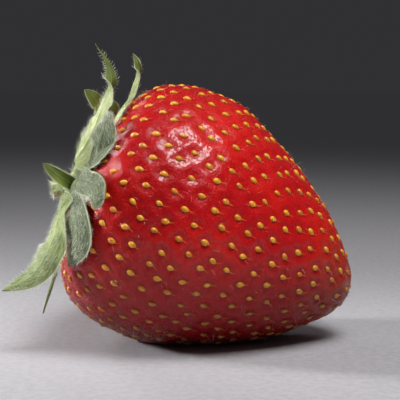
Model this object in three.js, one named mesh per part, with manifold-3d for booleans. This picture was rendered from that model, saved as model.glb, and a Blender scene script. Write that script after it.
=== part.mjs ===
// A ripe garden strawberry, as picked, lying on its side on a small flat spot.
// Units are millimetres, +Z up. The origin is the middle of the flat spot that it rests on.
// The fruit's axis lies in the XZ plane and points along +X, tip down.
import * as THREE from "three";
import { mergeVertices } from "three/addons/utils/BufferGeometryUtils.js";
import Module from "manifold-3d";

// ---- driving dimensions -------------------------------------------------------------------
const AXIS_TILT = THREE.MathUtils.degToRad(24); // how far the tip points below the horizontal
const REST_CUT = 0.6; // how deep the flat spot is pressed into the round underside
const FRUIT_RINGS = 42;
const FRUIT_SEGMENTS = 40;

// Outline of the fruit: distance along its axis towards the tip, then radius.
const OUTLINE = [
  [1.6, 0],
  [1.3, 3.2],
  [0.6, 7],
  [0.15, 10],
  [0, 12.5],
  [0.7, 14.8],
  [3.3, 18.3],
  [6.1, 19.9],
  [9.9, 20.9],
  [13.4, 21],
  [16.8, 21],
  [19.1, 20.5],
  [23.1, 19],
  [28.9, 16.4],
  [35.6, 12.4],
  [38.6, 10.2],
  [41.6, 7.4],
  [43.7, 5.3],
  [45, 3.5],
  [45.8, 1.8],
  [46.1, 0],
];

// Low swellings of the fruit: along the axis, angle round it from the top, height and reach.
const SWELLINGS = [
  { along: 14, turn: 5, height: 0.45, reach: 7 },
  { along: 33, turn: 165, height: 0.35, reach: 5 },
  { along: 26, turn: 95, height: 0.3, reach: 8 },
  { along: 20, turn: 250, height: 0.35, reach: 8 },
];

const DISC_RADIUS = 3.7; // the small disc on which all the leaves stand
const DISC_DROP = 1.5; // how far the disc sits below the fruit's axis
const DISC_SEGMENTS = 24;

const STEM_RADIUS = 1.25;
const STEM_LENGTH = 1.2;
const STEM_HOLLOW = 0.4; // depth of the sunken pith in the cut end
const STEM_SEGMENTS = 14;

const LEAF_THICKNESS = 0.4;
const LEAF_ROWS = 15;
const LEAF_COLUMNS = 8;
const LEAF_TIP_WIDTH = 0.16; // half the width left at a leaf's point, so that it closes
const LAYER_HEIGHT = 0.8; // the leaves overlap in layers this far apart
const LEAF_CLEARANCE = 0.65; // from the fruit to the middle of a leaf in the lowest layer

// Points and directions of the calyx are [along, up, near]: along the fruit's axis towards the
// tip, up square to it, and level towards the front (-Y).
// Each leaf has its midrib, its half width where it is widest, where that is (0 base to 1 point),
// how blunt its point is (1 round, more is sharper), its layer over the fruit, the ways that its
// outer face looks from base to point, how much it is arched about its midrib, and how far its
// two margins roll outwards, in radians.
const LEAVES = [
  {
    name: "sepal_upper_long",
    midrib: [
      [-3.8, 2.1, 2.5], [-3.5, 3.4, 4.1], [-3.1, 5.2, 5.2], [-2.9, 7.4, 5.8], [-2.9, 10, 5.8],
      [-3.1, 12.6, 5.2], [-3.4, 15, 4.4], [-4, 17, 3.4], [-5.6, 18.9, 2.4], [-8.5, 20.7, 1.5],
    ],
    half: 2.9, widest: 0.14, taper: 1.5, layer: 2,
    looks: [
      [-0.75, 0, 0.65], [-0.65, 0, 0.75], [-0.7, 0, 0.7], [-0.85, 0, 0.5], [-0.2, 0.1, -0.95],
      [-0.3, 0.1, -0.95],
    ],
    arch: 0.35, roll: [0, 0],
  },
  {
    name: "sepal_upper_broad",
    midrib: [
      [-1.4, 1.3, 3.6], [-0.3, 3.1, 9], [-0.4, 5.7, 12.6], [-0.8, 8.5, 13.4], [-1.2, 10.6, 12.4],
      [-1.6, 12.2, 10.4],
    ],
    half: 3.1, widest: 0.28, taper: 1.1, layer: 0,
    looks: [[-0.7, 0, 0.7], [-0.55, 0, 0.85]],
    arch: 0.25, roll: [0, 0],
  },
  {
    name: "sepal_upper_turned",
    midrib: [
      [-3.3, 2.8, 0], [-2.4, 5.4, -0.6], [-1.9, 8.2, 0], [-1.7, 11, 1.5], [-2.1, 13.6, 1.8],
    ],
    half: 1.4, widest: 0.78, taper: 0.5, layer: 0,
    looks: [[-1, 0, 0.2], [-0.7, 0, -0.6], [0.1, 0, -0.95]],
    arch: 0.3, roll: [0, 0],
  },
  {
    name: "bract_upper_slim",
    midrib: [
      [-1.8, 2.5, 1.5], [-0.6, 6, 6.4], [0.1, 10.3, 9.6], [0.3, 14.2, 5.4], [0, 17, 3],
      [-0.3, 19.1, 2], [-1.1, 20.7, 1.5], [-2.4, 21.8, 1],
    ],
    half: 0.9, widest: 0.45, taper: 0.7, layer: 0,
    looks: [[-0.8, 0, 0.6], [-0.8, -0.1, 0.6], [0.3, 0, -0.95]],
    arch: 0.4, roll: [0, 0],
  },
  {
    name: "bract_upper_reflexed",
    midrib: [
      [-3.5, 2.5, -1.5], [-3.5, 6, -2.4], [-3.7, 9, -3.4], [-4.3, 11.2, -4], [-5.8, 12.4, -3.5],
      [-7.6, 13.1, -3],
    ],
    half: 1.4, widest: 0.62, taper: 0.8, layer: 1,
    looks: [[-1, 0, 0.2], [-0.6, 0, -0.6], [0.1, -0.3, -0.95]],
    arch: 0.3, roll: [0, 0],
  },
  {
    name: "bract_front_reflexed",
    midrib: [
      [-3.5, -1.2, 4.4], [-2.8, -0.9, 6.8], [-2.9, -0.6, 9], [-4.1, -0.3, 10.1], [-5.9, 0.1, 10.3],
      [-7.9, 0.6, 10],
    ],
    half: 1.25, widest: 0.5, taper: 0.8, layer: 2,
    looks: [[-1, 0, 0.1], [-0.8, 0, -0.6], [0, -0.1, -1], [0, -0.1, -1]],
    arch: 0.4, roll: [0, 0],
  },
  {
    name: "sepal_front_folded",
    midrib: [
      [-2, -0.8, 4.2], [-0.7, 0.5, 10.5], [0.9, 1.6, 15.5], [2, 1.8, 18.2], [2.6, 0.5, 19.6],
      [2.9, -1.3, 20],
    ],
    half: 2.4, widest: 0.5, taper: 0.75, layer: 1,
    looks: [[-0.8, 0, 0.5], [-0.6, 0, 0.8], [-0.4, 0, 0.9]],
    arch: 0.2, roll: [0, 1.9],
  },
  {
    name: "sepal_lower_broad",
    midrib: [
      [-1.6, -3.2, 4.2], [0.8, -3.6, 10.3], [2.1, -5, 14.7], [2.8, -7.6, 16.3], [2.4, -11.8, 14.6],
    ],
    half: 3.6, widest: 0.45, taper: 1, layer: 0,
    looks: [[-0.8, 0, 0.5], [-0.6, -0.1, 0.8], [-0.5, -0.4, 0.8]],
    arch: 0.2, roll: [0, 0.9],
  },
  {
    name: "sepal_lower_long",
    midrib: [
      [-3.4, -3.9, 3.4], [-2.5, -4.6, 7], [-1.9, -6.6, 11], [-1.25, -9, 13.7], [-1.4, -12.3, 14.4],
      [-2.1, -15.7, 13.3], [-5.6, -20.3, 11],
    ],
    half: 3, widest: 0.5, taper: 0.85, layer: 1,
    looks: [[-0.7, 0, 0.7], [-0.7, 0, 0.7], [-0.5, 0.1, 0.85]],
    arch: 0.3, roll: [0, 0],
  },
  {
    name: "bract_lower_slim",
    midrib: [
      [-2.1, -5.7, 0.9], [-1, -10, 2.3], [0.1, -13.5, 3], [0.6, -18, 2.8], [1.2, -23.2, 2],
    ],
    half: 0.5, widest: 0.5, taper: 0.8, layer: 0,
    looks: [[-1, 0, 0.3], [-0.8, 0, 0.6], [-0.6, 0, 0.8]],
    arch: 0.4, roll: [0, 0],
  },
  {
    name: "sepal_back_lower",
    midrib: [
      [-2.1, -5, -2.5], [-1.4, -8, -6.5], [-0.6, -11, -9.5], [1, -13.5, -12.5],
    ],
    half: 3, widest: 0.45, taper: 1.2, layer: 0,
    looks: [[-1, 0, -0.1], [-0.8, -0.3, -0.5]],
    arch: 0.2, roll: [0, 0],
  },
  {
    name: "bract_back_slim",
    midrib: [
      [-3.4, -2.2, -4.2], [-2.4, -2.4, -8], [-1.4, -2.6, -11.5], [0.2, -2.4, -14.8],
    ],
    half: 1.2, widest: 0.5, taper: 1.1, layer: 1,
    looks: [[-1, 0, -0.1], [-0.8, 0, -0.6]],
    arch: 0.4, roll: [0, 0],
  },
  {
    name: "sepal_back_upper",
    midrib: [
      [-2.1, 0.6, -3.7], [-1.4, 4, -8], [-0.5, 6.8, -11.5], [1.4, 9.5, -14.5],
    ],
    half: 3, widest: 0.45, taper: 1.2, layer: 0,
    looks: [[-1, 0, -0.1], [-0.8, 0.3, -0.5]],
    arch: 0.2, roll: [0, 0],
  },
];

const flesh = new THREE.MeshStandardMaterial({ color: 0xb3140f, roughness: 0.25, metalness: 0 });
const leafGreen = new THREE.MeshStandardMaterial({ color: 0x8a9a5c, roughness: 0.75, metalness: 0 });
const stemGreen = new THREE.MeshStandardMaterial({ color: 0xa3ab6e, roughness: 0.7, metalness: 0 });

const wasm = await Module();
wasm.setup();

// ---- frames -------------------------------------------------------------------------------
// The berry group's own X is up square to the axis, its Y runs along the axis and its Z to the back.
const berryPoint = ([along, up, near]) => new THREE.Vector3(up, along, -near);

// The fruit's outline as a smooth curve in (radius, along), and as short steps for measuring.
const outlineCurve = new THREE.CatmullRomCurve3(
  OUTLINE.map(([along, radius]) => new THREE.Vector3(radius, along, 0)),
  false,
  "catmullrom",
);
const OUTLINE_STEPS = outlineCurve.getPoints(240);

// ---- fruit --------------------------------------------------------------------------------
// How far the flesh swells past the outline at a point of the berry frame.
function swellingAt(point) {
  return SWELLINGS.reduce((sum, { along, turn, height, reach }) => {
    const angle = THREE.MathUtils.degToRad(turn);
    const radius = Math.hypot(point.x, point.z);
    const middle = new THREE.Vector3(radius * Math.cos(angle), along, -radius * Math.sin(angle));
    return sum + height * Math.exp(-((middle.distanceTo(point) / reach) ** 2));
  }, 0);
}

function swollenFruit() {
  const profile = outlineCurve.getPoints(FRUIT_RINGS).map((p) => new THREE.Vector2(Math.max(p.x, 0), p.y));
  profile[0].x = 0;
  profile[profile.length - 1].x = 0;
  const geometry = new THREE.LatheGeometry(profile, FRUIT_SEGMENTS);
  const position = geometry.getAttribute("position");
  const point = new THREE.Vector3();
  for (let i = 0; i < position.count; i++) {
    point.fromBufferAttribute(position, i);
    const radius = Math.hypot(point.x, point.z);
    const grown = radius > 0 ? 1 + swellingAt(point) / radius : 1;
    position.setXYZ(i, point.x * grown, point.y, point.z * grown);
  }
  return geometry;
}

// ---- solids -------------------------------------------------------------------------------
function solidOf(geometry, matrix) {
  const bare = geometry.clone().applyMatrix4(matrix);
  bare.deleteAttribute("normal");
  bare.deleteAttribute("uv");
  const merged = mergeVertices(bare, 1e-3);
  return new wasm.Manifold(
    new wasm.Mesh({
      numProp: 3,
      vertProperties: merged.getAttribute("position").array,
      triVerts: new Uint32Array(merged.index.array),
    }),
  );
}

function geometryOf(solid) {
  const mesh = solid.getMesh();
  return new THREE.BufferGeometry()
    .setAttribute("position", new THREE.BufferAttribute(new Float32Array(mesh.vertProperties), 3))
    .setIndex(new THREE.BufferAttribute(mesh.triVerts, 1));
}

function namedMesh(name, geometry, material) {
  const mesh = new THREE.Mesh(geometry, material);
  mesh.name = name;
  return mesh;
}

// ---- resting place ------------------------------------------------------------------------
const axisWay = new THREE.Vector3(Math.cos(AXIS_TILT), 0, -Math.sin(AXIS_TILT));
const upWay = new THREE.Vector3(Math.sin(AXIS_TILT), 0, Math.cos(AXIS_TILT));
const backWay = new THREE.Vector3(0, 1, 0);

// The berry frame is turned to the tilt and set down so that the flat spot is at the origin.
function berryMatrix() {
  const turned = new THREE.Matrix4().makeBasis(upWay, axisWay, backWay);
  const lowest = OUTLINE_STEPS.map((p) => new THREE.Vector3(-p.x, p.y, 0).applyMatrix4(turned))
    .reduce((low, p) => (p.z < low.z ? p : low));
  return turned.setPosition(-lowest.x, 0, -lowest.z - REST_CUT);
}

const toRow = berryMatrix();

function fruitMesh() {
  const size = 80;
  const below = new THREE.BoxGeometry(size, size, size);
  const floorBlock = solidOf(below, new THREE.Matrix4().makeTranslation(0, 0, -size / 2));
  const body = solidOf(swollenFruit(), toRow).subtract(floorBlock);
  return namedMesh("fruit", geometryOf(body), flesh);
}

// ---- calyx disc and stem ------------------------------------------------------------------
function discMesh() {
  const profile = [[0, 0.9], [2, 0.7], [DISC_RADIUS - 0.3, 0.1], [DISC_RADIUS, -0.4], [DISC_RADIUS, -3.2],
    [DISC_RADIUS - 0.5, -3.6], [2.2, -3.7], [0, -3.75]]
    .map(([radius, along]) => new THREE.Vector2(radius, along))
    .reverse();
  const mesh = namedMesh("calyx_disc", new THREE.LatheGeometry(profile, DISC_SEGMENTS), stemGreen);
  mesh.position.copy(berryPoint([0, -DISC_DROP, 0]));
  return mesh;
}

// The cut stub of the fruit stalk, with its pith sunk a little.
function stemMesh() {
  const foot = 0;
  const profile = [[0, foot], [STEM_RADIUS * 1.15, foot], [STEM_RADIUS, STEM_LENGTH * 0.5],
    [STEM_RADIUS * 0.95, STEM_LENGTH], [STEM_RADIUS * 0.5, STEM_LENGTH], [0, STEM_LENGTH - STEM_HOLLOW]]
    .map(([radius, along]) => new THREE.Vector2(radius, along));
  const mesh = namedMesh("stem_stub", new THREE.LatheGeometry(profile, STEM_SEGMENTS), stemGreen);
  mesh.position.copy(berryPoint([-4.6, -3.2, 0.8]));
  const leans = berryPoint([-0.8, -0.6, 0.1]).normalize();
  mesh.quaternion.setFromUnitVectors(new THREE.Vector3(0, 1, 0), leans);
  return mesh;
}

// ---- leaves -------------------------------------------------------------------------------
const smoothStep = (x) => THREE.MathUtils.smoothstep(x, 0, 1);

// A value part way along a list of evenly spaced vectors.
function between(list, share) {
  const place = share * (list.length - 1);
  const first = Math.min(Math.floor(place), list.length - 2);
  return list[first].clone().lerp(list[first + 1], smoothStep(place - first));
}

function halfWidthAt({ half, widest, taper }, share) {
  if (share < widest) return half * (0.35 + 0.65 * Math.sin(((share / widest) * Math.PI) / 2));
  const past = (share - widest) / (1 - widest);
  return Math.max(LEAF_TIP_WIDTH, half * (1 - past * past) ** taper);
}

// Moves a point of a leaf out of the fruit, and up to its layer, along the fruit's own normal.
function liftedOff(point, clearance) {
  const radius = Math.hypot(point.x, point.z);
  const here = new THREE.Vector3(radius, point.y, 0);
  let nearest = 1;
  for (let i = 1; i < OUTLINE_STEPS.length - 1; i++)
    if (OUTLINE_STEPS[i].distanceTo(here) < OUTLINE_STEPS[nearest].distanceTo(here)) nearest = i;
  const run = OUTLINE_STEPS[nearest + 1].clone().sub(OUTLINE_STEPS[nearest - 1]).normalize();
  const normal = new THREE.Vector3(run.y, -run.x, 0);
  const missing = clearance - here.sub(OUTLINE_STEPS[nearest]).dot(normal);
  if (missing <= 0) return point;
  const outwards = (radius + normal.x * missing) / radius;
  return new THREE.Vector3(point.x * outwards, point.y + normal.y * missing, point.z * outwards);
}

// The offsets of a leaf's cross-section from its midrib, from one margin to the other, as
// [across, outwards, slope]. The arch bends both halves inwards and the rolls turn the margins out,
// both less where the leaf is narrower.
function crossSection({ arch, roll, half: widestHalf }, half, share) {
  const finest = 6;
  const side = (sign, rolled) => {
    const steps = [];
    let across = 0;
    let outwards = 0;
    for (let i = 0; i <= (LEAF_COLUMNS / 2) * finest; i++) {
      const v = i / ((LEAF_COLUMNS / 2) * finest);
      const bend = rolled * smoothStep((v - 0.3) / 0.6) * smoothStep((share - 0.15) / 0.3) - 2 * arch * v;
      const slope = (bend * half) / widestHalf;
      if (i > 0) {
        const step = half / ((LEAF_COLUMNS / 2) * finest);
        across += step * Math.cos(slope);
        outwards += step * Math.sin(slope);
      }
      if (i % finest === 0) steps.push([sign * across, outwards, sign * slope]);
    }
    return steps;
  };
  return [...side(-1, roll[0]).reverse(), ...side(1, roll[1]).slice(1)];
}

function leafGeometry(leaf) {
  const midrib = new THREE.CatmullRomCurve3(leaf.midrib.map(berryPoint), false, "catmullrom");
  const looks = leaf.looks.map(berryPoint);
  const clearance = LEAF_CLEARANCE + leaf.layer * LAYER_HEIGHT;
  const rows = [];
  for (let i = 0; i <= LEAF_ROWS; i++) {
    const share = i / LEAF_ROWS;
    const middle = midrib.getPoint(share);
    const along = midrib.getTangent(share);
    const look = between(looks, share);
    const out = look.sub(along.clone().multiplyScalar(look.dot(along))).normalize();
    const across = along.clone().cross(out);
    rows.push(
      crossSection(leaf, halfWidthAt(leaf, share), share).map(([x, y, slope]) => {
        const place = middle.clone().addScaledVector(across, x).addScaledVector(out, y);
        const thick = out.clone().multiplyScalar(Math.cos(slope)).addScaledVector(across, -Math.sin(slope));
        const lifted = liftedOff(place, clearance);
        return [1, -1].map((face) => lifted.clone().addScaledVector(thick, (face * LEAF_THICKNESS) / 2));
      }),
    );
  }
  return closedSheet(rows);
}

// A closed solid from rows of [outer, inner] point pairs.
function closedSheet(rows) {
  const columns = rows[0].length;
  const positions = rows.flat(2).flatMap((p) => p.toArray());
  const at = (row, column, face) => (row * columns + column) * 2 + face;
  const index = [];
  const quad = (a, b, c, d) => index.push(a, b, c, a, c, d);
  for (let r = 0; r < rows.length - 1; r++)
    for (let c = 0; c < columns - 1; c++) {
      quad(at(r, c, 0), at(r, c + 1, 0), at(r + 1, c + 1, 0), at(r + 1, c, 0));
      quad(at(r, c, 1), at(r + 1, c, 1), at(r + 1, c + 1, 1), at(r, c + 1, 1));
    }
  for (let r = 0; r < rows.length - 1; r++) {
    quad(at(r, 0, 0), at(r + 1, 0, 0), at(r + 1, 0, 1), at(r, 0, 1));
    quad(at(r, columns - 1, 0), at(r, columns - 1, 1), at(r + 1, columns - 1, 1), at(r + 1, columns - 1, 0));
  }
  const last = rows.length - 1;
  for (let c = 0; c < columns - 1; c++) {
    quad(at(0, c, 0), at(0, c, 1), at(0, c + 1, 1), at(0, c + 1, 0));
    quad(at(last, c, 0), at(last, c + 1, 0), at(last, c + 1, 1), at(last, c, 1));
  }
  return new THREE.BufferGeometry()
    .setAttribute("position", new THREE.Float32BufferAttribute(positions, 3))
    .setIndex(index);
}

// ---- the strawberry -----------------------------------------------------------------------
const calyx = new THREE.Group();
calyx.applyMatrix4(toRow);
calyx.add(discMesh(), stemMesh());
for (const leaf of LEAVES) calyx.add(namedMesh(leaf.name, leafGeometry(leaf), leafGreen));

const strawberry = new THREE.Group();
strawberry.add(fruitMesh(), calyx);

export default strawberry;
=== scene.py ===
"""A ripe garden strawberry lying on its side.

The skin is pitted and glossy, golden seeds with dried threads sit in the pits, and a calyx of hairy, curled
leaves stands at the blunt end. Lengths in the classes are millimetres, and metres in the studio's. All that
reaches Blender is in metres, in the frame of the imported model.
"""

from __future__ import annotations

import logging
import math
from dataclasses import dataclass
from enum import Enum

import bpy
import numpy as np
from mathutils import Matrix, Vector


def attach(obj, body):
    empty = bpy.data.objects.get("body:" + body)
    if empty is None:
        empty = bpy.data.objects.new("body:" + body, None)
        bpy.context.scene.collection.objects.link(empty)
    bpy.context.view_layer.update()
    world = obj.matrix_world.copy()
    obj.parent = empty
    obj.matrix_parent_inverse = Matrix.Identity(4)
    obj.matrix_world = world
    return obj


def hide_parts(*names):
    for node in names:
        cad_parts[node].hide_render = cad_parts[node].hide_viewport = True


MM = 0.001
HAIR_SEED = 3
SKIN_HAIRS = 420
LOG = logging.getLogger("strawberry")

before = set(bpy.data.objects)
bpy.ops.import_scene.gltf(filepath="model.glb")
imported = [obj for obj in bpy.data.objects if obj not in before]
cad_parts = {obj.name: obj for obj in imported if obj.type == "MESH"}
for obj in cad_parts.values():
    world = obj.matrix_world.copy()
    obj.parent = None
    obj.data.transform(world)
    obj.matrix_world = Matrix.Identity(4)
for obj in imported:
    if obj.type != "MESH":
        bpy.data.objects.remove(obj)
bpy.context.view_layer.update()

Numbers = np.ndarray
Colour = tuple[float, float, float]
Triple = tuple[float, float, float]


# ---------------------------------------------------------------------------------------------------------
# Shader expressions
# ---------------------------------------------------------------------------------------------------------


class Shade:
    """A number socket that can be used in Python arithmetic, each operator adding its Math node."""

    def __init__(self, tree: "Recipe", socket: bpy.types.NodeSocket) -> None:
        """Wraps one output socket of a recipe's node tree."""
        self.tree = tree
        self.socket = socket

    def _math(self, operation: str, first: "Operand", second: "Operand" = 0.0) -> "Shade":
        """Adds a Math node.

        Args:
            operation: the Math node's operation.
            first: its first value or link.
            second: its second value or link.

        Returns:
            The node's result.
        """
        return self.tree.add("ShaderNodeMath", {"operation": operation}, {0: first, 1: second})

    def __add__(self, other: "Operand") -> "Shade":
        """This plus other."""
        return self._math("ADD", self, other)

    __radd__ = __add__

    def __sub__(self, other: "Operand") -> "Shade":
        """This minus other."""
        return self._math("SUBTRACT", self, other)

    def __rsub__(self, other: "Operand") -> "Shade":
        """Other minus this."""
        return self._math("SUBTRACT", other, self)

    def __mul__(self, other: "Operand") -> "Shade":
        """This times other."""
        return self._math("MULTIPLY", self, other)

    __rmul__ = __mul__

    def __truediv__(self, other: "Operand") -> "Shade":
        """This over other."""
        return self._math("DIVIDE", self, other)

    def __abs__(self) -> "Shade":
        """This without its sign."""
        return self._math("ABSOLUTE", self)

    def held(self) -> "Shade":
        """This, kept between 0 and 1."""
        return self._math("MINIMUM", self._math("MAXIMUM", self, 0.0), 1.0)

    def step(self, low: float, high: float) -> "Shade":
        """A smooth step from 0 where this is low to 1 where it is high."""
        return self.tree.add(
            "ShaderNodeMapRange",
            {"interpolation_type": "SMOOTHSTEP"},
            {"Value": self, "From Min": low, "From Max": high, "To Min": 0.0, "To Max": 1.0},
        )


Operand = Shade | float


class Recipe:
    """One material and its node tree."""

    def __init__(self, name: str) -> None:
        """Starts an empty material of that name with one Principled shader."""
        self.material = bpy.data.materials.new(name)
        self.material.use_nodes = True
        self.nodes = self.material.node_tree.nodes
        self.links = self.material.node_tree.links
        self.shader = next(n for n in self.nodes if n.type == "BSDF_PRINCIPLED")

    def add(
        self, kind: str, settings: dict[str, object], sockets: dict[object, object], output: object = 0
    ) -> Shade:
        """Adds one node.

        Args:
            kind: the node's type name.
            settings: attributes set before its sockets are filled.
            sockets: socket name or index to a value or a Shade.
            output: name or index of the output to return.

        Returns:
            That output as a Shade.
        """
        node = self.nodes.new(kind)
        for key, value in settings.items():
            setattr(node, key, value)
        for key, value in sockets.items():
            self.feed(node.inputs[key], value)
        return Shade(self, node.outputs[output])

    def feed(self, socket: bpy.types.NodeSocket, value: object) -> None:
        """Links a Shade to a socket, or sets the socket's own value."""
        if isinstance(value, Shade):
            self.links.new(value.socket, socket)
        elif isinstance(value, tuple) and len(value) == 3 and socket.type == "RGBA":
            socket.default_value = (*value, 1.0)
        else:
            socket.default_value = value

    def finish(self, **sockets: object) -> bpy.types.Material:
        """Feeds the shader's sockets, named with underscores for spaces.

        Args:
            sockets: values or Shades by socket name.

        Returns:
            The finished material.
        """
        for name, value in sockets.items():
            self.feed(self.shader.inputs[name.replace("_", " ")], value)
        return self.material

    def place(self) -> Shade:
        """The point's place in the model's frame, in metres."""
        return self.add("ShaderNodeTexCoord", {}, {}, "Object")

    def attribute(self, name: str) -> Shade:
        """A number stored on the mesh."""
        return self.add("ShaderNodeAttribute", {"attribute_name": name}, {}, "Fac")

    def grain(self, where: Shade, per_mm: float, detail: float = 2.0, rough: float = 0.5) -> Shade:
        """Noise with about that many features in a millimetre."""
        return self.add(
            "ShaderNodeTexNoise",
            {},
            {"Vector": where, "Scale": per_mm / MM, "Detail": detail, "Roughness": rough},
            "Fac",
        )

    def blend(self, share: Operand, first: object, second: object) -> Shade:
        """A colour between two others."""
        return self.add("ShaderNodeMix", {"data_type": "RGBA"}, {0: share, 6: first, 7: second}, 2)

    def measure(self, where: Shade, way: Triple, origin: Triple) -> Shade:
        """How far a point lies from an origin along a direction, in metres."""
        moved = self.add("ShaderNodeVectorMath", {"operation": "SUBTRACT"}, {0: where, 1: origin})
        return self.add("ShaderNodeVectorMath", {"operation": "DOT_PRODUCT"}, {0: moved, 1: way}, "Value")

    def bumps(
        self, height: Shade, depth_mm: float, strength: float = 1.0, below: Shade | None = None
    ) -> Shade:
        """A normal tilted by a height field.

        Args:
            height: the field, from 0 to 1.
            depth_mm: how deep the field's full range is.
            strength: how much of it shows.
            below: another bump's normal to build on.

        Returns:
            The new normal.
        """
        sockets = {"Height": height, "Distance": depth_mm * MM, "Strength": strength}
        if below is not None:
            sockets["Normal"] = below
        return self.add("ShaderNodeBump", {}, sockets, "Normal")


# ---------------------------------------------------------------------------------------------------------
# Curves and meshes
# ---------------------------------------------------------------------------------------------------------


def smooth_step(x: Numbers | float) -> Numbers | float:
    """0 below 0, 1 above 1 and a smooth rise between."""
    x = np.clip(x, 0.0, 1.0)
    return x * x * (3.0 - 2.0 * x)


def unit(v: Numbers) -> Numbers:
    """Vectors of length 1 along the last axis."""
    return v / np.maximum(np.linalg.norm(v, axis=-1, keepdims=True), 1e-12)


def through(points: Numbers, shares: Numbers) -> tuple[Numbers, Numbers]:
    """A smooth uniform spline through points.

    Args:
        points: the points, one a row.
        shares: places along it, from 0 to 1.

    Returns:
        The positions, and the unit directions of travel.
    """
    ends = np.vstack([2 * points[0] - points[1], points, 2 * points[-1] - points[-2]])
    place = np.asarray(shares) * (len(points) - 1)
    first = np.minimum(place.astype(int), len(points) - 2)
    w = (place - first)[:, None]
    p0, p1, p2, p3 = (ends[first + i] for i in range(4))
    a, b = 0.5 * (p2 - p0), 0.5 * (p3 - p1)
    c2 = -3 * p1 + 3 * p2 - 2 * a - b
    c3 = 2 * p1 - 2 * p2 + a + b
    return p1 + a * w + c2 * w**2 + c3 * w**3, unit(a + 2 * c2 * w + 3 * c3 * w**2)


class Maker:
    """Turns arrays of points into objects that ride on the fruit's body."""

    BODY = "root"

    @staticmethod
    def grid_faces(rows: int, columns: int, wrap: bool = False) -> Numbers:
        """Quads of a grid of points.

        Args:
            rows: rows of points.
            columns: points in each row.
            wrap: whether each row closes on itself.

        Returns:
            The corner numbers, one quad a row.
        """
        across = columns if wrap else columns - 1
        r, c = np.meshgrid(np.arange(rows - 1), np.arange(across), indexing="ij")
        d = (c + 1) % columns
        quads = [r * columns + c, r * columns + d, (r + 1) * columns + d, (r + 1) * columns + c]
        return np.stack([q.ravel() for q in quads], axis=1)

    @classmethod
    def piece(
        cls,
        name: str,
        points: Numbers,
        faces: list[list[int]],
        materials: list[bpy.types.Material],
        slot: str,
        slots_of_faces: Numbers | None = None,
        attributes: dict[str, Numbers] | None = None,
    ) -> bpy.types.Object:
        """Makes one smooth-shaded object that rides on the body.

        Args:
            name: the piece's name.
            points: its points in metres.
            faces: corner numbers of each face.
            materials: its materials, in order.
            slot: the record's material slot, which is not used.
            slots_of_faces: each face's material number.
            attributes: numbers stored on its points, by name.

        Returns:
            The object.
        """
        mesh = bpy.data.meshes.new(name)
        mesh.from_pydata(points.tolist(), [], faces)
        mesh.polygons.foreach_set("use_smooth", np.ones(len(faces), bool))
        for material in materials:
            mesh.materials.append(material)
        if slots_of_faces is not None:
            mesh.polygons.foreach_set("material_index", np.asarray(slots_of_faces, np.int32))
        for key, values in (attributes or {}).items():
            layer = mesh.attributes.new(key, "FLOAT", "POINT")
            layer.data.foreach_set("value", np.asarray(values, np.float32))
        mesh.update()
        made = bpy.data.objects.new(name, mesh)
        bpy.context.scene.collection.objects.link(made)
        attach(made, cls.BODY)
        LOG.info("%s: %d faces", name, len(faces))
        return made


# ---------------------------------------------------------------------------------------------------------
# Finishes
# ---------------------------------------------------------------------------------------------------------


@dataclass(frozen=True)
class FleshFinish:
    """Wet, deep red fruit skin, with a painted orange-brown glow at the tip and painted shade low down, by
    the leaves and in the pits.
    """

    deep: Colour = (0.56, 0.006, 0.011)
    bright: Colour = (0.76, 0.014, 0.010)
    tip: Colour = (0.62, 0.055, 0.008)
    pit: Colour = (0.52, 0.008, 0.006)
    # painted shade: the dark colour laid on the skin low down and near the leaves, and how far up and along
    # it reaches
    shade: Colour = (0.10, 0.001, 0.004)
    shaded_height: float = 21.0
    shaded_neck: float = 18.0

    def material(self, axis_way: Triple, axis_start: Triple) -> bpy.types.Material:
        """Builds the skin's material.

        Args:
            axis_way: direction of the fruit's axis, towards the tip.
            axis_start: the axis's start, in metres.

        Returns:
            The material.
        """
        r = Recipe("flesh")
        p = r.place()
        along = r.measure(p, axis_way, axis_start) / MM
        height = r.measure(p, (0.0, 0.0, 1.0), (0.0, 0.0, 0.0)) / MM
        patches = r.grain(p, 0.09, 3.0).step(0.35, 0.65)
        specks = r.grain(p, 1.6, 3.0, 0.6)
        skin = r.blend(patches * 0.7 + specks * 0.3, self.deep, self.bright)
        # painted glow: the skin turns orange-brown towards the tip, for light scattered through it
        skin = r.blend(along.step(34.0, 46.0) * 0.75, skin, self.tip)
        # painted shade: the skin darkens in the seeds' pits
        skin = r.blend(r.attribute("pit") * 0.75, skin, self.pit)
        # painted shade: the skin darkens towards the bottom, where less light falls
        low = 1.0 - height.step(0.0, self.shaded_height)
        skin = r.blend(low * 0.85, skin, self.shade)
        # painted shade: the skin darkens near the leaves
        skin = r.blend((1.0 - along.step(1.0, self.shaded_neck)) * 0.40, skin, self.shade)
        fine = r.grain(p, 3.2, 2.0, 0.7)
        cells = r.grain(p, 1.6, 2.0, 0.6)
        normal = r.bumps(fine, 0.09, 0.9, r.bumps(cells, 0.12, 0.8))
        spots = r.grain(p, 2.6, 2.0, 0.6).step(0.44, 0.56)
        film = (1.0 - low) * along.step(3.0, 11.0)
        return r.finish(
            Base_Color=skin,
            Roughness=0.11 + 0.05 * specks + 0.24 * spots,
            Subsurface_Weight=0.12,
            Subsurface_Radius=(1.0, 0.12, 0.06),
            Subsurface_Scale=1.4 * MM,
            Specular_IOR_Level=0.2,
            Coat_Weight=film * (1.0 - spots) * 0.75,
            Coat_Roughness=0.05,
            Normal=normal,
        )


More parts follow.
